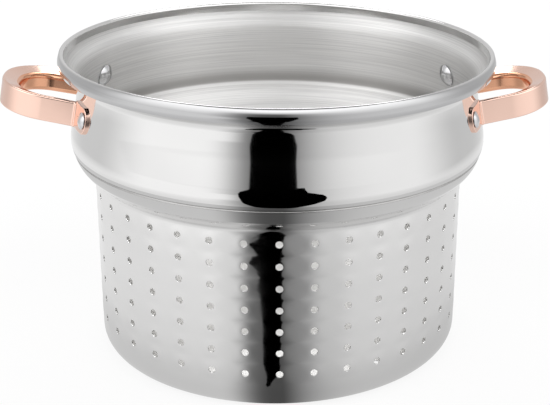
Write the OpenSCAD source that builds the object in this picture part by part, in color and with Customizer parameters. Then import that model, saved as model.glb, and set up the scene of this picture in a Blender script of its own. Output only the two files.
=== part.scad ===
// Drop-in strainer insert of a pasta pot: a stepped, drawn steel shell that hangs
// in the pot by its shoulder, with two cast loop handles on two rivets each.
// The shell is one sheet, modelled in four rings that meet face to face.
// Millimetres, +Z up. The base stands on Z = 0, the shell's axis is Z, and the
// handles point along +X and -X.

/* [Shell] */
// Height from the base to the top of the rim
height = 181.5; // [165:0.5:200]
// Thickness of the steel sheet
sheet = 0.8; // [0.6:0.05:1]
// Diameter of the pot's rim, on which the shoulder seats
seat_d = 230; // [200:0.5:250]
// Step in from the seat to the wall of the perforated basket
basket_inset = 5; // [4.5:0.5:10]
// Outside radius between the basket's wall and its base
base_corner_r = 11; // [7:0.5:15]

/* [Shoulder] */
// Drop of the seat below the top of the rim
seat_drop = 68.3; // [66:0.1:75]
// Height of the shoulder's roll, from the seat to the crease below the band
roll_h = 11.4; // [10:0.2:13]
// Width of the roll, from the seat out to the crease
roll_w = 6.7; // [5:0.1:8]
// Turn of the roll, from the seat to the crease, in degrees
roll_turn = 38; // [20:1:50]
// Radius between the basket's wall and the shoulder
shoulder_fillet_r = 4; // [2:0.5:5]

/* [Upper band] */
// Height of the swell above the crease
swell_h = 5.9; // [4:0.1:8]
// How far the swell stands out beyond the crease
swell_w = 1.3; // [0.5:0.1:2]
// Radius over the swell
swell_top_r = 30; // [20:1:40]
// Step in from the swell to the neck under the rim
neck_inset = 5.1; // [4:0.1:6]
// Radius into the neck
neck_round_r = 70; // [50:1:75]

/* [Rim] */
// Drop of the neck below the top of the rim
neck_drop = 16.5; // [14:0.5:18]
// Reach of the rim beyond the neck
rim_reach = 10.1; // [8:0.1:13]
// Radius of the flare from the neck to the roll
flare_r = 8; // [5:0.5:9]
// Outside radius of the rim's roll
roll_r = 2; // [1.6:0.1:2.4]
// Height of the rim's outer face, up to the top of the rim
rim_face_h = 8.6; // [5:0.2:9.4]

/* [Perforation] */
// Diameter of each drain hole
hole_d = 4; // [2:0.1:6]
// Distance between rows up the basket's wall
row_pitch = 13; // [9:0.5:16]
// Height of the lowest row
first_row_z = 23; // [19:0.5:25]
// Least distance from the top row up to the seat
top_margin = 12; // [11:0.5:16]
// Holes round the basket in each row
hole_cols = 36; // [20:2:40]
// Turn of the first column from the middle of the front, in degrees
col_phase = -1.5; // [-5:0.5:5]
// Distance between the rings of holes in the base
ring_pitch = 20; // [14:1:22]
// Least distance from a ring to the base's rounded corner
ring_margin = 6; // [4:0.5:12]

/* [Handles] */
// Width of a loop over its two legs, at the neck
loop_w = 64; // [62:0.5:68]
// Reach of a loop's outer side beyond the neck
loop_reach = 43.6; // [40:0.2:50]
// Lean of each leg towards the other, in degrees
leg_lean = 3; // [0:0.5:5]
// Outer radius of a loop's corners
loop_corner_r = 28; // [24:0.5:29]
// Outer radius of a loop's end
loop_end_r = 60; // [45:1:100]
// Height of the bar's outer face
bar_h = 15.6; // [13:0.2:18]
// Thickness of the bar, from its outer face to its inner one
bar_t = 10.6; // [9:0.2:12]
// Slope of the bar's upper and lower faces, in degrees
bar_taper = 16; // [8:1:18]
// Radius of the bar's outer edges
bar_outer_edge_r = 1.2; // [0.6:0.2:2]
// Radius of the bar's inner edges
bar_inner_edge_r = 3.2; // [2:0.2:3.4]
// Rise of a loop from the neck to its end, in degrees
loop_rise = 11; // [6:0.5:13]
// Drop of a loop's legs at the neck below the top of the rim
loop_drop = 31.5; // [30.5:0.1:32.5]

/* [Ears and rivets] */
// Thickness of the ear that lies on the shell
ear_t = 2.4; // [1.8:0.1:3]
// Distance from the rivet to the end of the ear
ear_end = 7.5; // [7:0.25:9]
// Height of the ear
ear_h = 15; // [13:0.2:15.6]
// Radius between a leg and its ear
ear_fillet_r = 4; // [2:0.5:6]
// Distance between the two rivets of a handle
rivet_spacing = 97; // [94:0.5:106]
// Drop of the rivets below the top of the rim
rivet_drop = 30.5; // [29.5:0.1:31.5]
// Diameter of a rivet's shank
shank_d = 5; // [4:0.1:6]
// Gap round the shank in its holes
shank_gap = 0.05; // [0.02:0.01:0.1]
// Diameter of the domed head inside the shell
inner_head_d = 13; // [10:0.25:14]
// Height of the domed head inside the shell
inner_head_h = 3; // [2:0.1:4]
// Diameter of the low head on the ear
outer_head_d = 9; // [7:0.25:10]
// Height of the low head on the ear
outer_head_h = 1.6; // [1:0.1:2.4]

/* [Hidden] */
$fn = 96;

steel_colour = "#c9cbcd";
rivet_colour = "#dadcde";
copper_colour = "#e2a58c";

function unit(v) = v / norm(v);
function left_of(v) = [-v[1], v[0]];
function heading(c, p) = atan2(p[1] - c[1], p[0] - c[0]);
function toward(a) = [cos(a), sin(a)];

// Points of an arc about c from angle a0 to a1, without the first one if first is 1
function arc(c, r, a0, a1, n, first = 0) = [
    for (i = [first:n])
        let (a = a0 + (a1 - a0) * i / n)
        c + r * toward(a)
];

// The round that replaces corner b of the outline a-b-c
function rounded(a, b, c, r, n) =
    let (
        to_a = unit(a - b),
        to_c = unit(c - b),
        half = acos(to_a * to_c) / 2,
        centre = b + unit(to_a + to_c) * r / sin(half),
        start = heading(centre, b + to_a * r / tan(half)),
        end = heading(centre, b + to_c * r / tan(half))
    )
    arc(centre, r, start, start + (end - start + 540) % 360 - 180, n);

// A line of points moved sideways by t, to the left of its run
function shifted(line, t) =
    let (last = len(line) - 1)
    [
        for (i = [0:last])
            let (
                next = unit(line[min(i + 1, last)] - line[min(i, last - 1)]),
                before = unit(line[max(i, 1)] - line[max(i - 1, 0)]),
                way = unit(left_of(next) + left_of(before))
            )
            line[i] + t * way / (way * left_of(next))
    ];
function reversed(line) = [for (i = [len(line) - 1:-1:0]) line[i]];

// The shoulder: a convex roll from the seat up to the crease, and a fillet down to the wall
wall_r = seat_d / 2 - basket_inset;
seat = [seat_d / 2, height - seat_drop];
crease = seat + [roll_w, roll_h];
shoulder_r = norm(crease - seat) / 2 / sin(roll_turn / 2);
shoulder_centre = (crease + seat) / 2
    + left_of(unit(crease - seat)) * shoulder_r * cos(roll_turn / 2);
seat_heading = heading(shoulder_centre, seat);
seat_slope = seat_heading + 90;
fillet_end_r = wall_r + shoulder_fillet_r * (1 - sin(seat_slope));
fillet_end_z = seat[1] - (seat[0] - fillet_end_r) * tan(seat_slope);
fillet_z = fillet_end_z - shoulder_fillet_r * cos(seat_slope);

// The upper band: it swells above the crease, then leans in to the neck along the line that
// touches both of its rounds
swell = crease + [swell_w, swell_h];
swell_r = norm(swell - crease) / 2 / sin(atan2(swell_w, swell_h));
neck = [swell[0] - neck_inset, height - neck_drop];
rounds_r = swell_top_r + neck_round_r;
lean_run = [neck[1] - swell[1], rounds_r - neck_inset];
band_lean = atan2(lean_run[0], lean_run[1]) - acos(rounds_r / norm(lean_run));

// The rim: the flare and a roll whose outer face hangs down
flare_angle = 45;
flare_centre = neck + [flare_r, 0];
flare_end = flare_centre + flare_r * toward(180 - flare_angle);
rim_r = neck[0] + rim_reach;
gap_r = roll_r - sheet;
roll_centre = [rim_r - roll_r, height - roll_r];
roll_foot_r = roll_centre[0] - gap_r;

// Outside of the sheet, from the middle of the base to the end of the flare
band_line = concat(
    arc(swell - [swell_r, 0], swell_r, -asin(swell_h / swell_r), 0, 6, 1),
    arc(swell - [swell_top_r, 0], swell_top_r, 0, band_lean, 4, 1),
    arc(neck + [neck_round_r, 0], neck_round_r, 180 + band_lean, 180, 5),
    arc(flare_centre, flare_r, 180, 180 - flare_angle, 6, 1)
);
sheet_line = concat(
    [[0, 0]],
    arc([wall_r - base_corner_r, base_corner_r], base_corner_r, -90, 0, 8),
    arc([wall_r + shoulder_fillet_r, fillet_z], shoulder_fillet_r, 180, 90 + seat_slope, 5),
    arc(shoulder_centre, shoulder_r, seat_heading, heading(shoulder_centre, crease), 8),
    band_line,
    [[roll_foot_r, flare_end[1] + roll_foot_r - flare_end[0]]],
    arc(roll_centre, gap_r, 180, 0, 10),
    [[rim_r - sheet, height - rim_face_h]]
);

// The rows and rings of holes that have room
hole_rows = floor((seat[1] - top_margin - first_row_z) / row_pitch) + 1;
base_rings = floor((wall_r - base_corner_r - ring_margin) / ring_pitch);

// Where a rivet's axis meets the outside of the sheet, and the lean of the sheet there
wall_heights = [for (p = band_line) [p[1], p[0]]];
rivet_z = height - rivet_drop;
rivet_r = lookup(rivet_z, wall_heights);
rivet_lean = min(band_lean, asin((neck[1] - rivet_z) / neck_round_r));
rivet_angle = asin(rivet_spacing / 2 / rivet_r);

// A loop in its own plane, from the neck outwards
loop_end = loop_reach / cos(loop_rise);
end_centre_x = loop_end - loop_end_r;
corner_start = loop_w / 2 - loop_corner_r / cos(leg_lean);
corner_lean = tan(leg_lean);
corner_b = end_centre_x + corner_start * corner_lean;
corner_a = 1 + corner_lean * corner_lean;
corner_c = pow(end_centre_x, 2) + pow(corner_start, 2) - pow(loop_end_r - loop_corner_r, 2);
corner_x = (corner_b + sqrt(corner_b * corner_b - corner_a * corner_c)) / corner_a;
corner_centre = [corner_x, corner_start - corner_x * corner_lean];
corner_turn = heading([end_centre_x, 0], corner_centre);
leg_turn = 90 - leg_lean;
leg_overrun = 14;
leg_l = corner_centre[0] / cos(leg_lean) + leg_overrun;

// Stations round the outer line of a loop, each a point and the way that the bar faces there
end_steps = 2;
corner_steps = 14;
half_stations = concat(
    [for (i = [1:end_steps])
        let (a = corner_turn * i / end_steps)
        [[end_centre_x, 0] + loop_end_r * toward(a), a]],
    [for (i = [1:corner_steps])
        let (a = corner_turn + (leg_turn - corner_turn) * i / corner_steps)
        [corner_centre + loop_corner_r * toward(a), a]],
    [[corner_centre + loop_corner_r * toward(leg_turn) + leg_l * left_of(toward(leg_turn)), leg_turn]]
);
stations = concat(
    [for (s = reversed(half_stations)) [[s[0][0], -s[0][1]], -s[1]]],
    [[[end_centre_x + loop_end_r, 0], 0]],
    half_stations
);

// The bar's section: x runs inwards from the outer face
bar_inner_h = bar_h - 2 * bar_t * tan(bar_taper);
bar_corners = [
    [0, -bar_h / 2], [0, bar_h / 2], [bar_t, bar_inner_h / 2], [bar_t, -bar_inner_h / 2],
];
bar_radii = [bar_outer_edge_r, bar_outer_edge_r, bar_inner_edge_r, bar_inner_edge_r];
bar_outline = [
    for (i = [0:3])
        for (p = rounded(bar_corners[(i + 3) % 4], bar_corners[i], bar_corners[(i + 1) % 4], bar_radii[i], 4))
            p
];

// Everything inside a line of the upper band, for trimming what lies on it
module inside_band(line) {
    rotate_extrude()
        polygon(concat([[0, line[0][1]]], line, [[0, line[len(line) - 1][1]]]));
}

module drain_holes() {
    for (col = [0:hole_cols - 1], row = [0:hole_rows - 1])
        rotate([0, 0, -90 + col_phase + col * 360 / hole_cols])
            translate([wall_r - 3 * sheet, 0, first_row_z + row * row_pitch])
                rotate([0, 90, 0])
                    cylinder(d = hole_d, h = 4 * sheet);
    for (ring = [1:base_rings], i = [1:6 * ring])
        rotate([0, 0, i * 60 / ring])
            translate([ring * ring_pitch, 0, -sheet])
                cylinder(d = hole_d, h = 3 * sheet);
}

// Children stand on the shell's outside at a rivet, +Z pointing out
module at_rivet(side) {
    rotate([0, 0, side * rivet_angle])
        translate([rivet_r, 0, rivet_z])
            rotate([0, 90 - rivet_lean, 0])
                children();
}

module rivet_holes() {
    for (side = [-1, 1])
        at_rivet(side)
            translate([0, 0, -5 * sheet])
                cylinder(d = shank_d + 2 * shank_gap, h = 10 * sheet + ear_t);
}

module sheet_shell() {
    rotate_extrude()
        polygon(concat(sheet_line, reversed(shifted(sheet_line, sheet))));
}

// The shell between two heights, with a flat joint to the piece above and below
module shell_part(low, high) {
    color(steel_colour)
        intersection() {
            sheet_shell();
            translate([0, 0, low]) cylinder(r = rim_r + sheet, h = high - low);
        }
}

module strainer_basket() {
    color(steel_colour)
        difference() {
            shell_part(0, fillet_z);
            drain_holes();
        }
}

module strainer_shoulder() shell_part(fillet_z, crease[1]);

module strainer_band() {
    color(steel_colour)
        difference() {
            shell_part(crease[1], neck[1]);
            rivet_holes();
            mirror([1, 0, 0]) rivet_holes();
        }
}

module strainer_rim() shell_part(neck[1], height);

// The bar's section carried through every station
module loop() {
    n = len(bar_outline);
    last = len(stations) - 1;
    points = [
        for (s = stations)
            for (p = bar_outline)
                let (q = s[0] - p[0] * toward(s[1]))
                [q[0], q[1], p[1]]
    ];
    sides = [
        for (i = [0:last - 1])
            for (j = [0:n - 1])
                [i * n + j, i * n + (j + 1) % n, (i + 1) * n + (j + 1) % n, (i + 1) * n + j]
    ];
    polyhedron(points, concat([[for (j = [n - 1:-1:0]) j]], sides, [[for (j = [0:n - 1]) last * n + j]]));
}

// The ear on the +Y side: a plate on the shell with a round end, and its fillet to the leg
module ear() {
    plate = shifted(band_line, -ear_t);
    ear_r = rivet_r + ear_t;
    fillet_y = loop_w / 2 + ear_fillet_r;
    centre = [sqrt(pow(ear_r + ear_fillet_r, 2) - fillet_y * fillet_y), fillet_y];
    inner = neck[0] - 2 * sheet;
    intersection() {
        inside_band(plate);
        at_rivet(1)
            translate([0, 0, -4 * ear_t])
                linear_extrude(8 * ear_t) {
                    translate([0, ear_end - ear_h / 2]) circle(d = ear_h);
                    translate([-ear_h / 2, -1.5 * ear_h]) square([ear_h, 1.5 * ear_h + ear_end - ear_h / 2]);
                }
    }
    translate([0, 0, rivet_z - ear_h / 2])
        linear_extrude(ear_h)
            difference() {
                polygon([
                    [centre[0], loop_w / 2 - bar_t / 2],
                    centre,
                    centre * inner / (ear_r + ear_fillet_r),
                    [inner - ear_fillet_r, loop_w / 2 - bar_t / 2],
                ]);
                translate(centre) circle(r = ear_fillet_r);
            }
}

module handle() {
    color(copper_colour)
        difference() {
            union() {
                translate([neck[0], 0, height - loop_drop])
                    rotate([0, -loop_rise, 0])
                        loop();
                ear();
                mirror([0, 1, 0]) ear();
            }
            inside_band(band_line);
            rivet_holes();
        }
}

module handle_right() handle();
module handle_left() mirror([1, 0, 0]) handle();

// A low cap of a sphere on Z = 0
module cap(d, h) {
    ball_r = (h * h + d * d / 4) / (2 * h);
    intersection() {
        translate([0, 0, h - ball_r]) sphere(r = ball_r);
        cylinder(d = 2 * d, h = 2 * h);
    }
}

// A rivet, whose heads touch the hollow wall inside and the hollow ear outside at their edges
module rivet(side) {
    inner_seat = sheet + inner_head_d * inner_head_d / 8 / (rivet_r - sheet);
    outer_seat = ear_t + outer_head_d * outer_head_d / 8 / (neck_round_r - ear_t);
    color(rivet_colour)
        at_rivet(side) {
            translate([0, 0, -inner_seat]) mirror([0, 0, 1]) cap(inner_head_d, inner_head_h);
            translate([0, 0, outer_seat]) cap(outer_head_d, outer_head_h);
            translate([0, 0, -inner_seat - inner_head_h / 2])
                cylinder(d = shank_d, h = inner_seat + outer_seat + (inner_head_h + outer_head_h) / 2);
        }
}

module rivet_right_front() rivet(-1);
module rivet_right_rear() rivet(1);
module rivet_left_front() mirror([1, 0, 0]) rivet(-1);
module rivet_left_rear() mirror([1, 0, 0]) rivet(1);

strainer_basket();
strainer_shoulder();
strainer_band();
strainer_rim();
handle_left();
handle_right();
rivet_left_front();
rivet_left_rear();
rivet_right_front();
rivet_right_rear();
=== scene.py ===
import math

import bpy
from mathutils import Matrix, Vector

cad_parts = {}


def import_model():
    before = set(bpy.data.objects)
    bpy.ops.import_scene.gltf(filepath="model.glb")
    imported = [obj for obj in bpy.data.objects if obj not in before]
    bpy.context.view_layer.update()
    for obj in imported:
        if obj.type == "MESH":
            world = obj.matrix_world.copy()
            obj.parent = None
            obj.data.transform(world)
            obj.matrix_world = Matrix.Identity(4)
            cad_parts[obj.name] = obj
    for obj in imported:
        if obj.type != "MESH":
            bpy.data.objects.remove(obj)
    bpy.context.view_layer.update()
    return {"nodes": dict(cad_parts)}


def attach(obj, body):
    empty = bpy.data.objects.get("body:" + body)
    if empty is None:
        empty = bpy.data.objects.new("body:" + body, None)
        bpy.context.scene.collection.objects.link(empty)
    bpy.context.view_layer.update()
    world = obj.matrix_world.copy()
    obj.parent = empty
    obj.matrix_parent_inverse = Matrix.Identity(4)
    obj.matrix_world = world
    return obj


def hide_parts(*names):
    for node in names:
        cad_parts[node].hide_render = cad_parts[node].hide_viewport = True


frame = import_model()
print("frame loaded:", len(frame["nodes"]), "nodes")

mm = 0.001


def turned(angle):
    return math.cos(math.radians(angle)), math.sin(math.radians(angle))


def headingOf(x, y):
    return math.degrees(math.atan2(y, x))


# Camera
viewpoint = {
    "distance": 729.9,      # mm from the shell's axis, level
    "height": 364.3,
    "pitch": 21.03,         # degrees down
    "yaw": 4.89,            # degrees turned to the right of the shell's axis
    "roll": 1.63,           # degrees, the picture's content turned clockwise
    "objectTurn": 1.3,      # degrees the object stands turned before the camera
    "lens": 82.5,
    "sensor": 36.0,
    "shiftX": -0.192,
    "clip": (0.02, 50),     # metres
}


def makeCamera(v):
    data = bpy.data.cameras.new("camera")
    data.sensor_width = v["sensor"]
    data.lens = v["lens"]
    data.shift_x = v["shiftX"]
    data.clip_start, data.clip_end = v["clip"]
    cam = bpy.data.objects.new("camera", data)
    bpy.context.scene.collection.objects.link(cam)
    cy, sy = turned(v["yaw"])
    cp, sp = turned(v["pitch"])
    cr, sr = turned(v["roll"])
    right = Vector((cy, -sy, 0))
    up = Vector((sy * sp, cy * sp, cp))
    forward = Vector((sy * cp, cy * cp, -sp))
    rolledRight = cr * right + sr * up
    rolledUp = -sr * right + cr * up
    basis = Matrix((rolledRight, rolledUp, -forward)).transposed().to_4x4()
    stand = Matrix.Translation((0, -v["distance"] * mm, v["height"] * mm))
    cam.matrix_world = Matrix.Rotation(-math.radians(v["objectTurn"]), 4, "Z") @ stand @ basis
    bpy.context.scene.camera = cam


makeCamera(viewpoint)
bpy.context.scene.view_settings.view_transform = "Standard"
print("camera placed")


# One socket of a shader, on which + - * / ** and abs() add Math nodes
class Wire:
    def __init__(self, tree, socket=None):
        self.tree = tree
        self.socket = socket

    # Adds a node of a type: first its settings, then the values or wires of its sockets
    def node(self, kind, settings=None, sockets=None, out=0):
        made = self.tree.nodes.new(kind)
        for name, value in (settings or {}).items():
            if name == "stops":
                stops = made.color_ramp.elements
                while len(stops) < len(value):
                    stops.new(1)
                for stop, (place, colour) in zip(stops, value):
                    stop.position, stop.color = place, colour
            else:
                setattr(made, name, value)
        for key, value in (sockets or {}).items():
            if isinstance(value, Wire):
                self.tree.links.new(value.socket, made.inputs[key])
            else:
                made.inputs[key].default_value = value
        return Wire(self.tree, made.outputs[out] if len(made.outputs) else None)

    def other(self, name):
        return Wire(self.tree, self.socket.node.outputs[name])

    def maths(self, operation, *values):
        return self.node("ShaderNodeMath", {"operation": operation}, dict(enumerate(values)))

    def __add__(self, other):
        return self.maths("ADD", self, other)

    def __sub__(self, other):
        return self.maths("SUBTRACT", self, other)

    def __rsub__(self, other):
        return self.maths("SUBTRACT", other, self)

    def __mul__(self, other):
        return self.maths("MULTIPLY", self, other)

    def __truediv__(self, other):
        return self.maths("DIVIDE", self, other)

    def __rtruediv__(self, other):
        return self.maths("DIVIDE", other, self)

    def __pow__(self, other):
        return self.maths("POWER", self, other)

    def __abs__(self):
        return self.maths("ABSOLUTE", self)

    __radd__ = __add__
    __rmul__ = __mul__


def newMaterial(name):
    made = bpy.data.materials.new(name)
    made.use_nodes = True
    made.node_tree.nodes.clear()
    return made, Wire(made.node_tree)


# A colour between two, by a wire
def blendColours(factor, first, second):
    return factor.node("ShaderNodeMix", {"data_type": "RGBA"}, {0: factor, 6: first, 7: second}, 2)


# Noise on the piece's own metres, stretched by three scales
def noiseOn(wires, scales, detail=2.0):
    place = wires.node("ShaderNodeTexCoord", out="Object")
    times = {"operation": "MULTIPLY"}
    stretched = wires.node("ShaderNodeVectorMath", times, {0: place, 1: scales})
    sockets = {"Vector": stretched, "Scale": 1.0, "Detail": detail}
    return wires.node("ShaderNodeTexNoise", {}, sockets)


# Rises softly from 0 to 1 between two values
def easeOf(value, low, high):
    return value.node("ShaderNodeMapRange", {"interpolation_type": "SMOOTHSTEP"},
                      {"Value": value, "From Min": low, "From Max": high})


# Where a point lies: x, y and z
def placeOf(wires, kind="Object"):
    place = wires.node("ShaderNodeTexCoord", out=kind)
    parts = wires.node("ShaderNodeSeparateXYZ", {}, {0: place})
    return parts, parts.other("Y"), parts.other("Z")


def axisDistance(x, y):
    return (x * x + y * y) ** 0.5


# The shader of a metal, from what feeds its sockets
def addMetal(wires, sockets):
    shader = wires.node("ShaderNodeBsdfPrincipled", {}, {"Metallic": 1.0, **sockets})
    wires.node("ShaderNodeOutputMaterial", {}, {"Surface": shader})


# Bumps from a height, with a strength and a depth in metres
def addBump(height, strength, depth):
    sockets = {"Strength": strength, "Distance": depth, "Height": height}
    return height.node("ShaderNodeBump", {}, sockets)


# Polished drawn steel, with faint turning marks round the axis and painted shade that darkens the
# rim's outer face
polishedFinish = {
    "light": (0.80, 0.795, 0.79, 1),
    "dark": (0.76, 0.757, 0.755, 1),
    "roughness": (0.045, 0.085),
    "cloud": (22, 22, 40),          # per metre, of what varies the colour and the gloss
    "grain": (9, 9, 900),           # per metre, of the bumps
    "bump": (0.012, 0.0004),        # how strong, and how deep in metres
    # the rim's colour is painted shade: a darker tone standing in for the rim's darker reflection
    "rim": (0.52, 0.52, 0.525, 1),
    "rimShadeFrom": (0.1258, 0.1271),    # metres from the axis where the rim's painted shade starts
}
# The line in the crease: rougher steel, painted darker as shade in the crease
creaseShadeFinish = {
    "light": (0.55, 0.545, 0.54, 1),
    "dark": (0.40, 0.395, 0.39, 1),
    "roughness": (0.30, 0.45),
    "cloud": (120, 120, 120),
}
# Rose copper coat on the cast handles
copperFinish = {
    "light": (0.96, 0.69, 0.585, 1),
    "dark": (0.93, 0.63, 0.52, 1),
    "roughness": (0.09, 0.16),
    "cloud": (30, 30, 30),
    "grain": (110, 110, 110),
    "bump": (0.03, 0.0006),
}
# Inside the loops the copper coat is painted deeper orange: a painted reflection of the coat in
# itself
copperReflectionFinish = {
    **copperFinish,
    "light": (0.93, 0.52, 0.34, 1),
    "dark": (0.86, 0.42, 0.25, 1),
    "roughness": (0.10, 0.17),
}
# Bright steel of the rivets, a little worn on their domes
rivetFinish = {
    "light": (0.72, 0.72, 0.73, 1),
    "dark": (0.60, 0.60, 0.61, 1),
    "roughness": (0.05, 0.13),
    "cloud": (260, 260, 260),
    "grain": (260, 260, 260),
    "grainDetail": 3.0,
    "bump": (0.04, 0.0004),
}


# A bright metal, cloudy in colour and gloss, with its grain and its rim's painted shade if it has
# them
def brightMetal(name, f):
    made, wires = newMaterial(name)
    cloud = noiseOn(wires, f["cloud"], 3.0)
    low, high = f["roughness"]
    sockets = {
        "Base Color": blendColours(cloud, f["light"], f["dark"]),
        "Roughness": low + (high - low) * cloud,
    }
    # Painted shade: the rim's outer face is darkened in its colour
    if "rim" in f:
        x, y = placeOf(wires)[:2]
        onRimShade = easeOf(axisDistance(x, y), *f["rimShadeFrom"])
        sockets["Base Color"] = blendColours(onRimShade, sockets["Base Color"], f["rim"])
    if "bump" in f:
        grain = noiseOn(wires, f["grain"], f.get("grainDetail", 2.0))
        sockets["Normal"] = addBump(grain, *f["bump"])
    addMetal(wires, sockets)
    return made


# Satin steel inside, brushed round the axis, with painted shade in the corner over the shoulder
# and painted light low in the basket
satinFinish = {
    "light": (0.93, 0.925, 0.915, 1),
    "dark": (0.77, 0.765, 0.76, 1),
    "roughness": (0.40, 0.52),
    "spread": (0.88, 0.25),            # wider up and down: how much, and by what turn
    "fineGrain": (16, 16, 3200),
    "coarseGrain": (9, 9, 1800),
    "fineShare": 0.6,
    "contrast": (0.34, 0.66),
    "bump": (0.12, 0.0004),
    # the colour of the painted shade in the inner corner over the shoulder
    "corner": (0.42, 0.41, 0.40, 1),
    "cornerShadeFrom": (0.1262, 0.1278),    # heights of the painted shade line over the shoulder
    "cornerShadeTo": (0.1288, 0.1385),
    # the colour of the painted light low inside the basket
    "basket": (0.985, 0.98, 0.97, 1),
    "basketLightShare": 0.8,
    "basketLightFrom": (0.100, 0.115),      # heights where the basket's painted light ends
}


def satinSteel(f):
    made, wires = newMaterial("satinSteel")
    fine = noiseOn(wires, f["fineGrain"])
    coarse = noiseOn(wires, f["coarseGrain"])
    grain = f["fineShare"] * fine + (1 - f["fineShare"]) * coarse
    height = placeOf(wires)[2]
    # Painted shade: a dark band in the inner corner over the shoulder
    inCornerShade = easeOf(height, *f["cornerShadeFrom"]) * (1 - easeOf(height, *f["cornerShadeTo"]))
    # Painted light: the lower inside of the basket is brightened in its colour
    inBasketLight = (1 - easeOf(height, *f["basketLightFrom"])) * f["basketLightShare"]
    streaks = easeOf(grain, *f["contrast"])
    colour = blendColours(streaks, f["light"], f["dark"])
    colour = blendColours(inBasketLight, colour, f["basket"])
    low, high = f["roughness"]
    spread, turn = f["spread"]
    addMetal(wires, {
        "Base Color": blendColours(inCornerShade, colour, f["corner"]),
        "Roughness": low + (high - low) * coarse,
        "Anisotropic": spread,
        "Anisotropic Rotation": turn,
        "Normal": addBump(grain, *f["bump"]),
    })
    return made


steelOutside = brightMetal("polishedSteel", polishedFinish)
steelInside = satinSteel(satinFinish)
shadedCreaseSteel = brightMetal("creaseShadeSteel", creaseShadeFinish)
copper = brightMetal("roseCopper", copperFinish)
paintedReflectionCopper = brightMetal("paintedReflectionCopper", copperReflectionFinish)
brightSteel = brightMetal("rivetSteel", rivetFinish)
print("materials made")


# A mesh in the making: points in mm with their normals, and faces with a finish number
class Skin:
    def __init__(self):
        self.points = []
        self.normals = []
        self.faces = []
        self.finishes = []

    def put(self, point, normal):
        self.points.append(Vector(point) * mm)
        self.normals.append(Vector(normal).normalized())
        return len(self.points) - 1

    def face(self, corners, finish=0):
        self.faces.append(tuple(corners))
        self.finishes.append(finish)

    # Quads between two closed rings; inner is a span of them with another finish
    def join(self, first, second, finish=0, inner=range(0)):
        count = len(first)
        for i in range(count):
            j = (i + 1) % count
            self.face((first[i], first[j], second[j], second[i]), 1 if i in inner else finish)

    # Joins each ring to the next, the other way round if back
    def joinAll(self, rings, back=False, finish=0, inner=range(0)):
        for first, second in zip(rings, rings[1:]):
            self.join(*((second, first) if back else (first, second)), finish, inner)

    def build(self, name, materials):
        mesh = bpy.data.meshes.new(name)
        mesh.from_pydata(self.points, [], self.faces)
        for made in materials:
            mesh.materials.append(made)
        mesh.polygons.foreach_set("material_index", self.finishes)
        mesh.polygons.foreach_set("use_smooth", [True] * len(self.faces))
        mesh.update()
        mesh.normals_split_custom_set_from_vertices(self.normals)
        piece = bpy.data.objects.new(name, mesh)
        bpy.context.scene.collection.objects.link(piece)
        return piece


# Shell: sizes in mm, as in the solid but for the groove and the crown
shell = {
    "height": 181.5,
    "sheet": 0.8,
    "seatD": 230.0,
    "basketInset": 5.0,
    "baseCornerR": 11.0,
    "seatDrop": 68.3,
    "rollH": 11.4,
    "rollW": 6.7,
    "rollTurn": 38.0,
    "filletR": 4.0,
    "swellH": 5.9,
    "swellW": 1.3,
    "swellTopR": 30.0,
    "grooveDeep": 0.3,       # of the sharp line where the swell starts
    "neckInset": 5.1,
    "neckRoundR": 70.0,
    "neckDrop": 16.5,
    "rimReach": 10.1,
    "flareR": 8.0,
    "flareTurn": 135.0,
    "rimRollR": 2.0,
    "rimFaceH": 8.6,
    "faceCrown": 0.70,       # the rim's outer face bulges this much
    "satinTopZ": 171.8,      # the brushed band inside ends here
}
# How many steps each arc of the outline has
arcSteps = {
    "corner": 9, "fillet": 5, "shoulder": 12, "groove": 6, "swell": 10, "swellTop": 5,
    "neck": 7, "flare": 8, "gap": 8, "edge": 6, "face": 8, "roll": 14,
}
slack = 0.01        # mm, what lies nearer than this touches

wallR = shell["seatD"] / 2 - shell["basketInset"]
seat = Vector((shell["seatD"] / 2, shell["height"] - shell["seatDrop"]))
crease = seat + Vector((shell["rollW"], shell["rollH"]))
chord = crease - seat
shoulderR = chord.length / 2 / math.sin(math.radians(shell["rollTurn"] / 2))
chordLeft = Vector((-chord.y, chord.x)).normalized()
shoulderCentre = (crease + seat) / 2 + chordLeft * shoulderR * turned(shell["rollTurn"] / 2)[0]
seatHeading = headingOf(*(seat - shoulderCentre))
creaseHeading = headingOf(*(crease - shoulderCentre))
seatSlope = seatHeading + 90
filletEndR = wallR + shell["filletR"] * (1 - turned(seatSlope)[1])
filletZ = seat.y - (seat.x - filletEndR) * math.tan(math.radians(seatSlope)) \
    - shell["filletR"] * turned(seatSlope)[0]
swell = crease + Vector((shell["swellW"], shell["swellH"]))
swellR = (swell - crease).length / 2 / math.sin(math.atan2(shell["swellW"], shell["swellH"]))
swellStart = -math.degrees(math.asin(shell["swellH"] / swellR))
neck = Vector((swell.x - shell["neckInset"], shell["height"] - shell["neckDrop"]))
roundsR = shell["swellTopR"] + shell["neckRoundR"]
leanRun = Vector((neck.y - swell.y, roundsR - shell["neckInset"]))
leanWay = math.atan2(leanRun.x, leanRun.y)
bandLean = math.degrees(leanWay - math.acos(roundsR / leanRun.length))
flareCentre = neck + Vector((shell["flareR"], 0))
rimR = neck.x + shell["rimReach"]
gapR = shell["rimRollR"] - shell["sheet"]
rollCentre = Vector((rimR - shell["rimRollR"], shell["height"] - shell["rimRollR"]))


# Points of an arc with their normals: side is 1 where they point away from its centre
def arcRun(centre, radius, start, end, steps, side):
    run = []
    for i in range(steps + 1):
        c, s = turned(start + (end - start) * i / steps)
        run.append((centre[0] + radius * c, centre[1] + radius * s, side * c, side * s))
    return run


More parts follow.
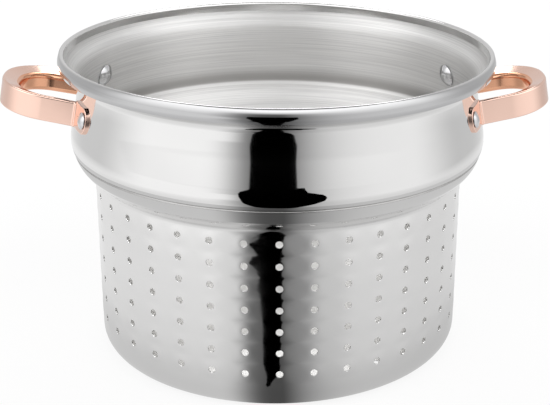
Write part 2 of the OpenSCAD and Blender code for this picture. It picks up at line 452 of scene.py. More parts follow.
# The sheet above the basket's wall, on its outer side or inset by the sheet
def upperRun(inset):
    side = -1 if inset else 1
    t = shell["sheet"] if inset else 0.0
    n = arcSteps
    topR, neckR = shell["swellTopR"], shell["neckRoundR"]
    fillet = arcRun((wallR + shell["filletR"], filletZ), shell["filletR"] + t,
                    180, 90 + seatSlope, n["fillet"], -side)
    shoulderRun = arcRun(shoulderCentre, shoulderR - t, seatHeading, creaseHeading,
                         n["shoulder"], side)
    swellRun = arcRun((swell.x - swellR, swell.y), swellR - t, swellStart, 0, n["swell"], side)
    if not inset:
        # The sharp line where the swell starts: a round of twice its depth
        heading, deep = (creaseHeading + swellStart) / 2, shell["grooveDeep"]
        centre = crease + deep * Vector(turned(heading))
        groove = arcRun(centre, 2 * deep, heading + 240, heading + 120, n["groove"], -1)
        shoulderRun = shoulderRun[:-1] + groove
        swellRun = swellRun[1:]
    return (
        fillet + shoulderRun + swellRun
        + arcRun((swell.x - topR, swell.y), topR - t, 0, bandLean, n["swellTop"], side)
        + arcRun((neck.x + neckR, neck.y), neckR + t, 180 + bandLean, 180, n["neck"], -side)
        + arcRun(flareCentre, shell["flareR"] + t, 180, shell["flareTurn"], n["flare"], -side)
    )


# The rim: from the flare's outer side over the roll to its inner side
def rimRun():
    t = shell["sheet"]
    n = arcSteps
    footR = rollCentre.x - gapR
    flareEnd = flareCentre + shell["flareR"] * Vector(turned(shell["flareTurn"]))
    footZ = flareEnd.y + footR - flareEnd.x
    crown = shell["faceCrown"]
    edgeR = t / 2
    faceTop, faceLow = rollCentre.y, shell["height"] - shell["rimFaceH"] + edgeR
    middle, half = (faceTop + faceLow) / 2, (faceTop - faceLow) / 2
    crownR = (half * half + crown * crown) / (2 * crown)
    spread = math.degrees(math.asin(half / crownR))
    inner = [(footR, footZ, 1, 0)] + arcRun(rollCentre, gapR, 180, 0, n["gap"], -1)
    edge = arcRun((rimR - edgeR - crown, faceLow), edgeR, -180, -spread, n["edge"], 1)
    face = arcRun((rimR - crownR, middle), crownR, -spread, spread, n["face"], 1)
    rollR = shell["rimRollR"] - crown / 2
    rollMiddle = (rollCentre.x - crown / 2, shell["height"] - rollR)
    roll = arcRun(rollMiddle, rollR, spread, 180, n["roll"], 1)
    innerTopZ = footZ + t * (math.sqrt(2) - 1)
    return inner + edge + face[1:] + roll[1:] + [(roll[-1][0], innerTopZ + edgeR, -1, 0)]


# Drops points that repeat the one before
def tidied(run):
    kept = [run[0]]
    for p in run[1:]:
        if math.hypot(p[0] - kept[-1][0], p[1] - kept[-1][1]) > 2 * slack:
            kept.append(p)
    return kept


# Drain holes
drain = {
    "holeD": 4.0,
    "rowPitch": 13.0,
    "firstRowZ": 23.0,
    "rows": 7,
    "columns": 36,
    "phase": -1.5,           # degrees from the middle of the front
    "ringPitch": 20.0,
    "baseRings": 4,
    "burr": 0.14,            # the wall's sheet rises this far towards a hole's edge
    "burrR": 6.4,            # from this far from its middle
    "edge": 0.16,            # rounding of a hole's edge
    "outRings": (5.2, 3.9, 2.9),    # radii of the rings of points about a hole
    "inRing": 3.4,
    "acrossCell": 6,         # points along a cell's side
    "upCell": 4,
    "baseSteps": 144,
    "radialSteps": 4,
}


# How deep the sheet lies at a distance from a hole's middle, and its slope there
def burrAt(distance, height):
    reach = drain["burrR"] - drain["holeD"] / 2
    t = min(max((distance - drain["holeD"] / 2) / reach, 0), 1)
    return -height * (1 - t * t) ** 2, 4 * height * t * (1 - t * t) / reach


# Fills a cell round a hole on both sides of the sheet; place gives the point and the
# directions across, up and out at an offset from the hole's middle and a depth
def pierce(skin, outBorder, inBorder, offsets, place, burr):
    sheet, edge, holeR = shell["sheet"], drain["edge"], drain["holeD"] / 2
    ways = [math.atan2(v, u) for u, v in offsets]

    def ringAt(distance, kind):
        dip, slope = burrAt(distance, burr)
        ring = []
        for way in ways:
            c, s = math.cos(way), math.sin(way)
            depth = dip + {"out": 0, "top": edge, "low": sheet - edge, "in": sheet}[kind]
            point, across, up, out = place(distance * c, distance * s, depth)
            outward = across * c + up * s
            if kind in ("top", "low"):
                normal = -outward
            else:
                normal = (out + slope * outward) * (1 if kind == "out" else -1)
            ring.append(skin.put(point, normal))
        return ring

    outRings = [outBorder] + [ringAt(r, "out") for r in (*drain["outRings"], holeR + edge)]
    outRings.append(ringAt(holeR, "top"))
    inRings = [ringAt(holeR, "low"), ringAt(holeR + edge, "in"), ringAt(drain["inRing"], "in")]
    inRings.append(inBorder)
    skin.joinAll(outRings + inRings[:1])
    skin.joinAll(inRings, finish=1)


def makeShell():
    skin = Skin()
    steps = drain["columns"] * drain["acrossCell"]
    firstAngle = -90 + drain["phase"] - 180 / drain["columns"]
    angles = [firstAngle + 360 * i / steps for i in range(steps)]
    sheet = shell["sheet"]

    def ring(r, z, nr, nz, ways=angles):
        made = []
        for a in ways:
            c, s = turned(a)
            made.append(skin.put((r * c, r * s, z), (nr * c, nr * s, nz)))
        return made

    # Rows of cells round the basket's wall
    bottomZ = drain["firstRowZ"] - drain["rowPitch"] / 2
    borders = [bottomZ + drain["rowPitch"] * k for k in range(drain["rows"])] + [filletZ]
    outSide = [ring(wallR, z, 1, 0) for z in borders]
    inSide = [ring(wallR - sheet, z, -1, 0) for z in borders]
    across, upCount = drain["acrossCell"], drain["upCell"]
    uprights = {}
    for col in range(drain["columns"]):
        i = col * across
        c, s = turned(angles[i])
        for row in range(drain["rows"]):
            for k in range(1, upCount):
                z = borders[row] + (borders[row + 1] - borders[row]) * k / upCount
                uprights[col, row, k] = (
                    skin.put((wallR * c, wallR * s, z), (c, s, 0)),
                    skin.put(((wallR - sheet) * c, (wallR - sheet) * s, z), (-c, -s, 0)),
                    z,
                )
            for k, line in ((0, row), (upCount, row + 1)):
                uprights[col, row, k] = (outSide[line][i], inSide[line][i], borders[line])
    halfCell = math.radians(180 / drain["columns"]) * wallR
    for col in range(drain["columns"]):
        middle = math.radians(angles[col * across] + 180 / drain["columns"])
        nextCol = (col + 1) % drain["columns"]
        for row in range(drain["rows"]):
            holeZ = drain["firstRowZ"] + drain["rowPitch"] * row
            outBorder, inBorder, offsets = [], [], []

            def take(outIndex, inIndex, u, v):
                outBorder.append(outIndex)
                inBorder.append(inIndex)
                offsets.append((u, v))

            lowV, highV = borders[row] - holeZ, borders[row + 1] - holeZ
            for k in range(across):
                i = (col * across + k) % steps
                u = halfCell * (2 * k / across - 1)
                take(outSide[row][i], inSide[row][i], u, lowV)
            for k in range(upCount):
                o, n, z = uprights[nextCol, row, k]
                take(o, n, halfCell, z - holeZ)
            for k in range(across):
                i = (col * across + across - k) % steps
                u = halfCell * (1 - 2 * k / across)
                take(outSide[row + 1][i], inSide[row + 1][i], u, highV)
            for k in range(upCount):
                o, n, z = uprights[col, row, upCount - k]
                take(o, n, -halfCell, z - holeZ)

            def onWall(u, v, depth):
                a = middle + u / wallR
                c, s = math.cos(a), math.sin(a)
                r = wallR - depth
                return (
                    Vector((r * c, r * s, holeZ + v)),
                    Vector((-s, c, 0)), Vector((0, 0, 1)), Vector((c, s, 0)),
                )

            pierce(skin, outBorder, inBorder, offsets, onWall, drain["burr"])

    # The upper band and the rim, up the outside, over the roll and down the inside
    outRun = tidied(upperRun(False))[1:]
    inRun = tidied(upperRun(True))[1:]
    profile = tidied(outRun + rimRun() + inRun[::-1])
    previous = outSide[-1]
    inward = False
    for r, z, nr, nz in profile:
        current = ring(r, z, nr, nz)
        inward = inward or (nr < 0 and z > rollCentre.y - slack and r < rollCentre.x)
        satin = inward and z < shell["satinTopZ"]
        inGroove = not inward and math.hypot(r - crease.x, z - crease.y) < 2 * shell["grooveDeep"]
        # The groove's faces take the steel painted darker as shade
        skin.join(previous, current, 1 if satin else 2 if inGroove else 0)
        previous = current
    skin.join(previous, inSide[-1], 1)

    # The rounded corner down to the base
    cornerR = shell["baseCornerR"]
    corner = (wallR - cornerR, cornerR)
    n = arcSteps["corner"]
    lowOut = [ring(*p) for p in arcRun(corner, cornerR, 0, -90, n, 1)]
    lowIn = [ring(*p) for p in arcRun(corner, cornerR - sheet, 0, -90, n, -1)]
    skin.joinAll([outSide[0]] + lowOut, True)
    skin.joinAll([inSide[0]] + lowIn, finish=1)

    # The base, in rings of cells round a middle disc
    count = drain["baseSteps"]
    startIndex = math.floor(firstAngle / (360 / count))
    baseWays = [(startIndex + j) * 360 / count for j in range(count)]
    pitch = drain["ringPitch"]
    radii = [pitch / 2 + pitch * k for k in range(drain["baseRings"] + 1)]
    outBase = [ring(r, 0, 0, -1, baseWays) for r in radii]
    inBase = [ring(r, sheet, 0, 1, baseWays) for r in radii]
    groups = math.gcd(steps, count)
    wide, narrow = steps // groups, count // groups
    for edgeRing, flat, finish in ((lowOut[-1], outBase[-1], 0), (lowIn[-1], inBase[-1], 1)):
        for g in range(groups):
            corners = [edgeRing[(g * wide + i) % steps] for i in range(wide + 1)]
            corners += [flat[(g * narrow + i) % count] for i in range(narrow, -1, -1)]
            skin.face(corners if finish else corners[::-1], finish)
    radialSteps = drain["radialSteps"]
    for k in range(1, drain["baseRings"] + 1):
        cells = 6 * k
        perCell = count // cells
        shift = round(-180 / cells / (360 / count)) - startIndex
        spokes = {}
        for m in range(cells):
            a = math.radians((m - 0.5) * 360 / cells)
            for q in range(1, radialSteps):
                r = radii[k - 1] + pitch * q / radialSteps
                spot = (r * math.cos(a), r * math.sin(a))
                below = skin.put((*spot, 0), (0, 0, -1))
                spokes[m, q] = (below, skin.put((*spot, sheet), (0, 0, 1)))
        for m in range(cells):
            middleWay = m * 360 / cells
            mc, ms = turned(middleWay)
            hole = Vector((k * pitch * mc, k * pitch * ms, 0))
            radial, tangent = Vector((mc, ms, 0)), Vector((-ms, mc, 0))
            outBorder, inBorder, offsets = [], [], []

            def takeAt(outIndex, inIndex):
                outBorder.append(outIndex)
                inBorder.append(inIndex)
                gone = skin.points[outIndex] / mm - hole
                offsets.append((gone.dot(radial), gone.dot(tangent)))

            for j in range(perCell + 1):
                i = (shift + m * perCell + perCell - j) % count
                takeAt(outBase[k - 1][i], inBase[k - 1][i])
            for q in range(1, radialSteps):
                takeAt(*spokes[m, q])
            for j in range(perCell + 1):
                i = (shift + m * perCell + j) % count
                takeAt(outBase[k][i], inBase[k][i])
            for q in range(radialSteps - 1, 0, -1):
                takeAt(*spokes[(m + 1) % cells, q])

            def onBase(u, v, depth):
                point = hole + u * radial + v * tangent + Vector((0, 0, depth))
                return point, radial, tangent, Vector((0, 0, -1))

            # Seen from below the border runs the other way round, so both sides are turned
            pierce(skin, outBorder[::-1], inBorder[::-1], offsets[::-1], onBase, 0.0)
    for flat, z, way in ((outBase[0], 0, -1), (inBase[0], sheet, 1)):
        hub = skin.put((0, 0, z), (0, 0, way))
        for j in range(count):
            a, b = flat[j], flat[(j + 1) % count]
            skin.face((hub, b, a) if way < 0 else (hub, a, b), 1 if way > 0 else 0)
    return skin.build("strainerShell", [steelOutside, steelInside, shadedCreaseSteel])


strainer = makeShell()
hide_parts("strainer_basket", "strainer_shoulder", "strainer_band", "strainer_rim")
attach(strainer, "root")
print("shell made:", len(strainer.data.polygons), "faces")


# Radius of the band's outside at a height, from the swell to the neck
def bandR(z):
    lean = math.radians(bandLean)
    topR, neckR = shell["swellTopR"], shell["neckRoundR"]
    lowEnd = swell.y + topR * math.sin(lean)
    highEnd = neck.y - neckR * math.sin(lean)
    if z < swell.y:
        drop = min(swell.y - z, shell["swellH"])
        return swell.x - swellR + math.sqrt(swellR ** 2 - drop ** 2)
    if z < lowEnd:
        return swell.x - topR + math.sqrt(topR ** 2 - (z - swell.y) ** 2)
    if z > highEnd:
        return neck.x + neckR - math.sqrt(neckR ** 2 - (neck.y - z) ** 2)
    return swell.x - topR + topR * math.cos(lean) - (z - lowEnd) * math.tan(lean)


# A point and a normal, mirrored where the side is -1
def onSide(side, p, n):
    return Vector((side * p.x, p.y, p.z)), Vector((side * n.x, n.y, n.z))


# Handles: sizes in mm, as in the solid but for thinner, shorter ears and small fillets
handle = {
    "width": 64.0,
    "reach": 43.6,
    "lean": 3.0,
    "cornerR": 28.0,
    "endR": 60.0,
    "barH": 15.6,
    "barT": 10.6,
    "taper": 16.0,
    "outerEdgeR": 1.2,
    "innerEdgeR": 3.2,
    "rise": 11.0,
    "drop": 31.5,
    "earT": 1.6,
    "earEnd": 7.5,
    "earPast": 5.1,          # how far the ear's end reaches past the rivet
    "earEdge": 0.5,
    "earOverrun": 16.0,      # how far the ear runs on under the leg
    "filletR": 1.2,
    "sunk": 0.3,             # how far the casting reaches into the sheet
    "rivetSpacing": 97.0,
    "rivetDrop": 30.5,
    "edgeSteps": 6,
    "endSteps": 4,
    "cornerSteps": 30,
    "filletShares": (1.0, 0.75, 0.55, 0.38, 0.24, 0.13, 0.05, 0.0),    # its rings' heights
    "legSearch": (-20.0, 50.0),    # how far along a leg the shell is looked for
    "halvings": 40,          # of that range, until the place is found
    "earSteps": (6, 20),     # along an ear's straight side and round its end
    "earFills": (0.66, 0.33, 0.02),    # shares of the outline of the rings within it
}

rivetZ = shell["height"] - handle["rivetDrop"]
rivetR = bandR(rivetZ)
rivetLean = min(bandLean, math.degrees(math.asin((neck.y - rivetZ) / shell["neckRoundR"])))
rivetAngle = math.degrees(math.asin(handle["rivetSpacing"] / 2 / rivetR))


# The bar's section: distance in from the outer face, height, and the normal there
def barSection(h):
    innerH = h["barH"] - 2 * h["barT"] * math.tan(math.radians(h["taper"]))
    corners = [
        Vector((0, -h["barH"] / 2)), Vector((0, h["barH"] / 2)),
        Vector((h["barT"], innerH / 2)), Vector((h["barT"], -innerH / 2)),
    ]
    radii = [h["outerEdgeR"], h["outerEdgeR"], h["innerEdgeR"], h["innerEdgeR"]]
    section = []
    for i, b in enumerate(corners):
        toA = (corners[i - 1] - b).normalized()
        toC = (corners[(i + 1) % 4] - b).normalized()
        half = math.acos(toA.dot(toC)) / 2
        centre = b + (toA + toC).normalized() * radii[i] / math.sin(half)
        start = headingOf(*(b + toA * radii[i] / math.tan(half) - centre))
        end = headingOf(*(b + toC * radii[i] / math.tan(half) - centre))
        end = start + (end - start + 540) % 360 - 180
        section += arcRun(centre, radii[i], start, end, h["edgeSteps"], 1)
    return section


# Stations from the end's middle to the leg: a point on the outer line and the way it faces
def halfStations(h):
    end = h["reach"] / turned(h["rise"])[0]
    endX = end - h["endR"]
    tanLean = math.tan(math.radians(h["lean"]))
    cosLean = turned(h["lean"])[0]
    start = h["width"] / 2 - h["cornerR"] / cosLean
    b = endX + start * tanLean
    a = 1 + tanLean ** 2
    c = endX ** 2 + start ** 2 - (h["endR"] - h["cornerR"]) ** 2
    cornerX = (b + math.sqrt(b * b - a * c)) / a
    corner = Vector((cornerX, start - cornerX * tanLean))
    turn = headingOf(corner.x - endX, corner.y)
    legTurn = 90 - h["lean"]
    made = []
    for i in range(h["endSteps"]):
        way = turn * i / h["endSteps"]
        made.append((Vector((endX, 0)) + h["endR"] * Vector(turned(way)), way))
    for i in range(h["cornerSteps"] + 1):
        way = turn + (legTurn - turn) * i / h["cornerSteps"]
        made.append((corner + h["cornerR"] * Vector(turned(way)), way))
    return made


def makeHandle(name, side, h):
    skin = Skin()
    section = barSection(h)
    rise = math.radians(h["rise"])
    base = Vector((neck.x, 0, shell["height"] - h["drop"]))

    # From the loop's own plane to the shell's frame
    def lifted(v):
        x = v.x * math.cos(rise) - v.z * math.sin(rise)
        z = v.x * math.sin(rise) + v.z * math.cos(rise)
        return Vector((x, v.y, z))

    def toWorld(point, normal):
        return onSide(side, base + lifted(point), lifted(normal))

    half = halfStations(h)
    rings = []
    for point, way in [(Vector((p.x, -p.y)), -w) for p, w in half[:0:-1]] + half:
        tc, ts = turned(way)
        ring = []
        for x, y, nx, ny in section:
            ring.append((
                Vector((point.x - x * tc, point.y - x * ts, y)),
                Vector((-nx * tc, -nx * ts, ny)),
            ))
        rings.append(ring)

    # A leg's rings, each where its lines meet the band's surface at a clearance
    def legRings(last, hand):
        c, s = turned(h["lean"])
        along = Vector((-c, hand * s, 0))
        flat = Vector((0, hand, 0))
        made = []
        fillet = h["filletR"]
        top = h["earT"]
        clearances = [top + fillet * share for share in h["filletShares"]]
        clearances += [top * 0.5, -h["sunk"]]
        for clearance in clearances:
            ring = []
            for point, normal in last:
                low, high = h["legSearch"]
                for _ in range(h["halvings"]):
                    t = (low + high) / 2
                    w = base + lifted(point + along * t)
                    outside = math.hypot(w.x, w.y) - bandR(w.z) > clearance
                    low, high = (t, high) if outside else (low, t)
                spot = point + along * low
                gap = max(clearance - top, 0)
                push = 0
                if gap < fillet:
                    push = fillet - math.sqrt(max(fillet ** 2 - (fillet - gap) ** 2, 0))
                facing = max(normal.dot(flat), 0)
                ring.append((spot + flat * push * facing ** 0.5, normal))
            made.append(ring)
        return made

    start = legRings(rings[0], -1)
    end = legRings(rings[-1], 1)
    allRings = start[::-1] + rings + end
    count = len(section)
    world = [[toWorld(p, n) for p, n in ring] for ring in allRings]
    numbered = []
    for i, ring in enumerate(world):
        line = []
        for j, (point, normal) in enumerate(ring):
            blended = i < len(start) or i >= len(world) - len(end)
            if blended and 0 < i < len(world) - 1:
                run = world[i + 1][j][0] - world[i - 1][j][0]
                turn = ring[(j + 1) % count][0] - ring[j - 1][0]
                computed = turn.cross(run) * side
                if computed.length > 0:
                    computed.normalize()
                    if computed.dot(normal) < 0:
                        computed = -computed
                    normal = computed
            line.append(skin.put(point, normal))
        numbered.append(line)
    flip = side > 0
    # The loop's inner faces take the copper with the painted reflection
    skin.joinAll(numbered, flip, inner=range(count // 2, count - 1))
    skin.face(numbered[0] if flip else numbered[0][::-1])
    skin.face(numbered[-1][::-1] if flip else numbered[-1])

    # The two ears: plates that follow the band, with a round end about the rivet
    for hand in (-1, 1):
        outline = []
        reach, past, endR = h["earOverrun"], h["earPast"], h["earEnd"]
        straight, bend = h["earSteps"]
        for k in range(straight):
            back = -reach * (1 - k / straight)
            outline.append((back, -endR, 0, -1, back))
        for k in range(bend + 1):
            c, s = turned(-90 + 180 * k / bend)
            facing = Vector((c * endR, s * past)).normalized()
            outline.append((past * c, endR * s, *facing, 0))
        for k in range(1, straight + 1):
            outline.append((-reach * k / straight, endR, 0, 1, -reach * k / straight))
        outline.append((-reach, 0, -1, 0, -reach))
        e = h["earEdge"]
        levels = [(0, -h["sunk"], 1, 0), (0, h["earT"] - e, 1, 0)]
        for c, s in (turned(30), turned(60)):
            levels.append((e * (1 - c), h["earT"] - e * (1 - s), c, s))
        levels.append((e, h["earT"], 0, 1))

        def onBand(s, t, height, es, et, out):
            a = math.radians(rivetAngle) * hand + hand * s / rivetR
            z = rivetZ + t
            near = 0.1
            slope = (bandR(z + near) - bandR(z - near)) / (2 * near)
            c, sn = math.cos(a), math.sin(a)
            normalUp = Vector((c, sn, -slope)).normalized()
            tangent = Vector((-sn, c, 0)) * hand
            climb = Vector((slope * c, slope * sn, 1)).normalized()
            r = bandR(z)
            point = Vector((r * c, r * sn, z)) + normalUp * height
            return onSide(side, point, es * tangent + et * climb + out * normalUp)

        plate = []
        for inset, height, edgeShare, outShare in levels:
            ring = []
            for s, t, ns, nt, _ in outline:
                facing = (ns * edgeShare, nt * edgeShare, outShare)
                ring.append(skin.put(*onBand(s - ns * inset, t - nt * inset, height, *facing)))
            plate.append(ring)
        for share in h["earFills"]:
            ring = []
            for s, t, ns, nt, spine in outline:
                s0, t0 = s - ns * e, t - nt * e
                along = spine + (s0 - spine) * share
                ring.append(skin.put(*onBand(along, t0 * share, h["earT"], 0, 0, 1)))
            plate.append(ring)
        turnedOver = (hand * side) > 0
        skin.joinAll(plate, not turnedOver)
        skin.face(plate[-1] if turnedOver else plate[-1][::-1])
        skin.face(plate[0][::-1] if turnedOver else plate[0])
    return skin.build(name, [copper, paintedReflectionCopper])


for name, side, node in (
    ("loopHandleRight", 1, "handle_right"), ("loopHandleLeft", -1, "handle_left"),
):
    made = makeHandle(name, side, handle)
    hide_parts(node)
    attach(made, "root")
print("handles made")


# Rivets: sizes in mm, as in the solid but for slightly larger heads
rivet = {
    "shankD": 5.0,
    "innerHeadD": 14.2,
    "innerHeadH": 3.6,
    "outerHeadD": 9.6,
    "outerHeadH": 2.2,
    "edgeR": 0.35,
    "edgeLap": 0.6,          # share of the edge that the dome covers
    "edgeSteps": 6,
    "domeSteps": 12,
    "segments": 64,
}


def makeRivet(name, side, hand, v):
    skin = Skin()
    sheet, earT = shell["sheet"], handle["earT"]
    innerSeat = sheet + v["innerHeadD"] ** 2 / 8 / (rivetR - sheet)
    outerSeat = earT + v["outerHeadD"] ** 2 / 8 / (shell["neckRoundR"] - earT)
    shankR = v["shankD"] / 2

    # A head's half outline from the shank's side over its edge to the top of its dome
    def headRun(diameter, height, seatZ, way):
        ball = (height ** 2 + diameter ** 2 / 4) / (2 * height)
        e = v["edgeR"]
        edge = (diameter / 2 - e, e)
        centreZ = height - ball
        reach = math.degrees(math.asin((diameter / 2 - e * v["edgeLap"]) / ball))
        run = [(shankR, 0, 0, -1)]
        run += arcRun(edge, e, -90, 90 - reach, v["edgeSteps"], 1)
        for i in range(1, v["domeSteps"] + 1):
            c, s = turned(90 - reach * (1 - i / v["domeSteps"]))
            run.append((ball * c, centreZ + ball * s, c, s))
        return [(r, way * (seatZ * way + z), nr, way * nz) for r, z, nr, nz in run]

    inner = headRun(v["innerHeadD"], v["innerHeadH"], -innerSeat, -1)
    outer = headRun(v["outerHeadD"], v["outerHeadH"], outerSeat, 1)
    profile = inner[::-1] + [(shankR, -innerSeat, 1, 0), (shankR, outerSeat, 1, 0)] + outer
    lean, out = math.radians(rivetLean), math.radians(rivetAngle) * hand
    flat = math.cos(lean)
    axis = Vector((flat * math.cos(out), flat * math.sin(out), math.sin(lean)))
    sideways = Vector((-math.sin(out), math.cos(out), 0))
    upward = axis.cross(sideways)
    spot = Vector((rivetR * math.cos(out), rivetR * math.sin(out), rivetZ))

    def world(r, z, nr, nz, a):
        around = math.cos(a) * sideways + math.sin(a) * upward
        return onSide(side, spot + around * r + axis * z, around * nr + axis * nz)

    rings = []
    turns = [2 * math.pi * i / v["segments"] for i in range(v["segments"])]
    for r, z, nr, nz in profile:
        if r < slack:
            rings.append([skin.put(*world(0, z, 0, nz, 0))])
        else:
            rings.append([skin.put(*world(r, z, nr, nz, a)) for a in turns])
    flip = side > 0
    for first, second in zip(rings, rings[1:]):
        start = len(first) == 1
        if start or len(second) == 1:
            hub, ring = (first[0], second) if start else (second[0], first)
            for i in range(v["segments"]):
                a, b = ring[i], ring[(i + 1) % v["segments"]]
                skin.face((hub, b, a) if start == flip else (hub, a, b))
        else:
            skin.join(*((first, second) if flip else (second, first)))
    return skin.build(name, [brightSteel])


for name, side, hand, node in (
    ("rivetRightFront", 1, -1, "rivet_right_front"),
    ("rivetRightRear", 1, 1, "rivet_right_rear"),
    ("rivetLeftFront", -1, -1, "rivet_left_front"),
    ("rivetLeftRear", -1, 1, "rivet_left_rear"),
):
    made = makeRivet(name, side, hand, rivet)
    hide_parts(node)
    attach(made, "root")
print("rivets made")


# Studio: a pale floor whose glow in the metal is painted light, with painted shade near the
# object, a soft surround with a dimmer side towards the camera, a softbox behind, and cards that
# only the metal sees, as painted reflections
floorLook = {
    "size": 6.0,
    "colour": (0.98, 0.98, 0.98, 1),
    "cameraShare": 0.85,        # how much of the floor's white is its own, to the camera
    "under": 0.0005,            # metres that it lies below the base
    # painted brightness that the metal sees in the floor, by metres from the axis, with painted
    # shade near the object
    "byRadius": [(0.13, 0.61), (0.165, 0.74), (0.22, 0.80), (0.29, 0.83), (0.36, 0.90),
                 (0.46, 1.0)],
    "level": 1.08,
    "lean": 0.055,              # less to the right
    "sideDim": 0.36,
    "sideRadius": (0.10, 0.90),
    "mirror": (0.041, 1.476),   # near the object its wall sees the floor at wider angles
    "liftShare": 0.8,
    "liftFrom": (18.0, 34.0),   # degrees to the left where the floor is light again
    "liftRadius": ((0.42, 0.52), (0.85, 1.0)),    # and its two edges
}

surroundLook = {
    "horizon": 1.05,
    "overhead": 2.2,
    "lean": 0.023,
    "haloTop": (0.25, 0.70),    # sines of the heights where the dim side fades out
    "sideDim": 0.36,
    "sideDimUp": 0.45,
    "zenithDim": 0.8,
    "zenithFrom": (0.80, 0.92),
}

# Dim about the camera: degrees to the right from straight in front of the object
halo = {
    "middle": -1.0,
    "least": 0.12,
    "right": (24.0, 1.4),       # width and power
    "left": (27.6, 3.8),
}
sideFrom = (72.0, 112.0)        # degrees where the sides start to dim and are dimmest

plainWhite = (1, 1, 1, 1)


# Brightness of the surround by azimuth: dim about the camera, 1 at the sides
def haloOf(azimuth):
    gone = azimuth - halo["middle"]
    toRight = gone.maths("MAXIMUM", gone, 0) / halo["right"][0]
    toLeft = gone.maths("MAXIMUM", gone * -1, 0) / halo["left"][0]
    spread = (toRight ** halo["right"][1] + toLeft ** halo["left"][1]) * -1
    return 1 - (1 - halo["least"]) * spread.maths("EXPONENT", spread)


# Degrees to the right from straight in front
def azimuthOf(x, y):
    return x.maths("ARCTAN2", x, y * -1) * (180 / math.pi)


# The azimuth as the wall mirrors it, wider close to the object
def mirrored(azimuth, distance):
    share, power = floorLook["mirror"]
    return azimuth * (1 + share / distance ** power)


# A flat stage piece with one face
def addFlat(name, points, made, z=0.0):
    mesh = bpy.data.meshes.new(name)
    mesh.from_pydata(points, [], [tuple(range(len(points)))])
    mesh.materials.append(made)
    piece = bpy.data.objects.new(name, mesh)
    piece.location.z = z
    bpy.context.scene.collection.objects.link(piece)
    return piece


def makeFloor(f):
    made, wires = newMaterial("paleFloor")
    x, y = placeOf(wires)[:2]
    distance = axisDistance(x, y)
    azimuth = mirrored(azimuthOf(x, y), distance)
    stops = [(r, (v, v, v, 1)) for r, v in f["byRadius"]]
    ramp = wires.node("ShaderNodeValToRGB", {"stops": stops}, {0: distance})
    side = 1 - f["sideDim"] * easeOf(abs(azimuth), *sideFrom) * easeOf(distance, *f["sideRadius"])
    near, far = f["liftRadius"]
    lift = easeOf(azimuth * -1, *f["liftFrom"]) * easeOf(distance, *near)
    lift = lift * (1 - easeOf(distance, *far)) * f["liftShare"]
    dim = (1 - haloOf(azimuth)) * (1 - lift)
    # Painted light and shade of the floor's glow to glossy rays: darker near the object, about the
    # camera and at the sides
    strength = (1 - dim) * side * (f["level"] - f["lean"] * x / distance)
    glossy = wires.node("ShaderNodeEmission", {}, {"Color": ramp, "Strength": strength})
    diffuse = wires.node("ShaderNodeBsdfDiffuse", {}, {"Color": f["colour"]})
    white = wires.node("ShaderNodeEmission", {}, {"Color": plainWhite, "Strength": 1.0})
    toCamera = wires.node("ShaderNodeMixShader", {}, {0: f["cameraShare"], 1: diffuse, 2: white})
    path = wires.node("ShaderNodeLightPath", out="Is Camera Ray")
    glossyPath = path.other("Is Glossy Ray")
    seen = wires.node("ShaderNodeMixShader", {}, {0: path, 1: diffuse, 2: toCamera})
    final = wires.node("ShaderNodeMixShader", {}, {0: glossyPath, 1: seen, 2: glossy})
    wires.node("ShaderNodeOutputMaterial", {}, {"Surface": final})
    half = f["size"] / 2
    corners = [(-half, -half, 0), (half, -half, 0), (half, half, 0), (-half, half, 0)]
    addFlat("floor", corners, made, -f["under"])


def makeWorld(w):
    world = bpy.data.worlds.new("studioWorld")
    bpy.context.scene.world = world
    world.use_nodes = True
    world.node_tree.nodes.clear()
    wires = Wire(world.node_tree)
    x, y, z = placeOf(wires, "Generated")
    azimuth = azimuthOf(x, y)
    height = z.maths("MAXIMUM", z, 0)
    level = w["horizon"] + (w["overhead"] - w["horizon"]) * height - w["lean"] * x
    # The dim side fades out towards the zenith
    fade = 1 - (1 - haloOf(azimuth)) * (1 - easeOf(z, *w["haloTop"]))
    side = 1 - (w["sideDim"] + w["sideDimUp"] * height) * easeOf(abs(azimuth), *sideFrom)
    zenith = 1 - w["zenithDim"] * easeOf(z, *w["zenithFrom"])
    strength = level * fade * side * zenith
    surround = wires.node("ShaderNodeBackground", {}, {"Color": plainWhite, "Strength": strength})
    white = wires.node("ShaderNodeBackground", {}, {"Color": plainWhite, "Strength": 1.0})
    path = wires.node("ShaderNodeLightPath", out="Is Camera Ray")
    final = wires.node("ShaderNodeMixShader", {}, {0: path, 1: surround, 2: white})
    wires.node("ShaderNodeOutputWorld", {}, {"Surface": final})


# Black cards that only the metal sees, as painted dark reflections: where each plane lies in
# metres, and its outline in mm
cards = {
    "cardStanding": {
        "axis": "y", "at": -0.300,
        "outline": [
            (-46, 20), (-14, 20), (10, 32), (17, 55), (23, 98), (31, 130),
            (28, 175), (-72, 175), (-75, 130), (-69, 98), (-67, 55), (-64, 32),
        ],
    },
    "cardFoot": {
        "axis": "y", "at": -0.137,
        "outline": [
            (-22.5, 138.5), (-25.3, 136.9), (-30, 134.5), (-31.2, 132.5), (-31, 129),
            (-29.4, 124.6), (-27.8, 118.5), (-20.5, 109.5), (-10, 107), (0, 107),
            (7, 109), (20.5, 117.5), (27.2, 123.2), (28.6, 127), (27.8, 128.8),
            (25.5, 131), (19, 133.2), (15, 134.5), (13, 138.5),
        ],
    },
    "cardOnFloor": {
        "axis": "z", "at": 0.0004,
        "outline": [
            (-12, -137), (-14, -135), (-16, -138), (-18, -146), (-24, -164), (-36, -217),
            (-60, -302), (-72, -318), (-86, -326), (-86, -345), (-68, -368), (-30, -375),
            (-2, -365), (5, -345), (5, -305), (0, -240), (-3, -190), (-4.5, -155),
        ],
    },
}

# A glowing card under the shoulder that only the metal sees: a painted reflection that looks like
# the floor and hides the floor's black card there
shoulderCard = {
    "height": 0.108,
    "radii": (0.1165, 0.139),
    "span": (-190, 10),
    "steps": 100,
    "level": 0.68,
}


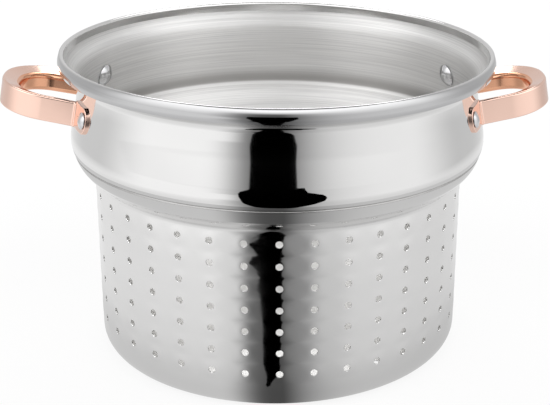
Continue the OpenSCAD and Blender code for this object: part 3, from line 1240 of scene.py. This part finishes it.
# A flat piece that only glossy rays see
def addCard(name, points, made):
    piece = addFlat(name, points, made)
    for kind in ("camera", "diffuse", "shadow", "transmission", "volume_scatter"):
        setattr(piece, "visible_" + kind, False)


def makeCards(outlines, shoulder):
    # Painted dark reflections: black planes seen only by glossy rays
    black, wires = newMaterial("blackCard")
    shade = wires.node("ShaderNodeEmission", {}, {"Color": (0, 0, 0, 1), "Strength": 1.0})
    wires.node("ShaderNodeOutputMaterial", {}, {"Surface": shade})
    for name, c in outlines.items():
        points = [(u * mm, v * mm) for u, v in c["outline"]]
        upright = c["axis"] == "y"
        points = [(u, c["at"], v) if upright else (u, v, c["at"]) for u, v in points]
        addCard(name, points, black)
    # Painted reflection: the card glows like the floor, dimmed about the camera
    pale, wires = newMaterial("shoulderCard")
    x, y = placeOf(wires)[:2]
    azimuth = mirrored(azimuthOf(x, y), axisDistance(x, y))
    strength = haloOf(azimuth) * shoulder["level"]
    shade = wires.node("ShaderNodeEmission", {}, {"Color": plainWhite, "Strength": strength})
    wires.node("ShaderNodeOutputMaterial", {}, {"Surface": shade})
    points = []
    low, high = shoulder["span"]
    near, far = shoulder["radii"]
    for r, first, last in ((near, low, high), (far, high, low)):
        for i in range(shoulder["steps"] + 1):
            c, sn = turned(first + (last - first) * i / shoulder["steps"])
            points.append((r * c, r * sn, shoulder["height"]))
    addCard("cardUnderShoulder", points, pale)


softbox = {
    "place": (0.0, 0.95, 1.45),
    "aim": (0, 0, 0.1),
    "size": (1.25, 0.5),
    "power": 6.0,
}


def makeSoftbox(b):
    data = bpy.data.lights.new("softboxBehind", "AREA")
    data.shape = "RECTANGLE"
    data.size, data.size_y = b["size"]
    data.energy = b["power"]
    lamp = bpy.data.objects.new("softboxBehind", data)
    lamp.location = b["place"]
    away = Vector(b["aim"]) - Vector(b["place"])
    lamp.rotation_mode = "QUATERNION"
    lamp.rotation_quaternion = away.to_track_quat("-Z", "Y")
    bpy.context.scene.collection.objects.link(lamp)


makeFloor(floorLook)
makeWorld(surroundLook)
makeCards(cards, shoulderCard)
makeSoftbox(softbox)
print("studio set")
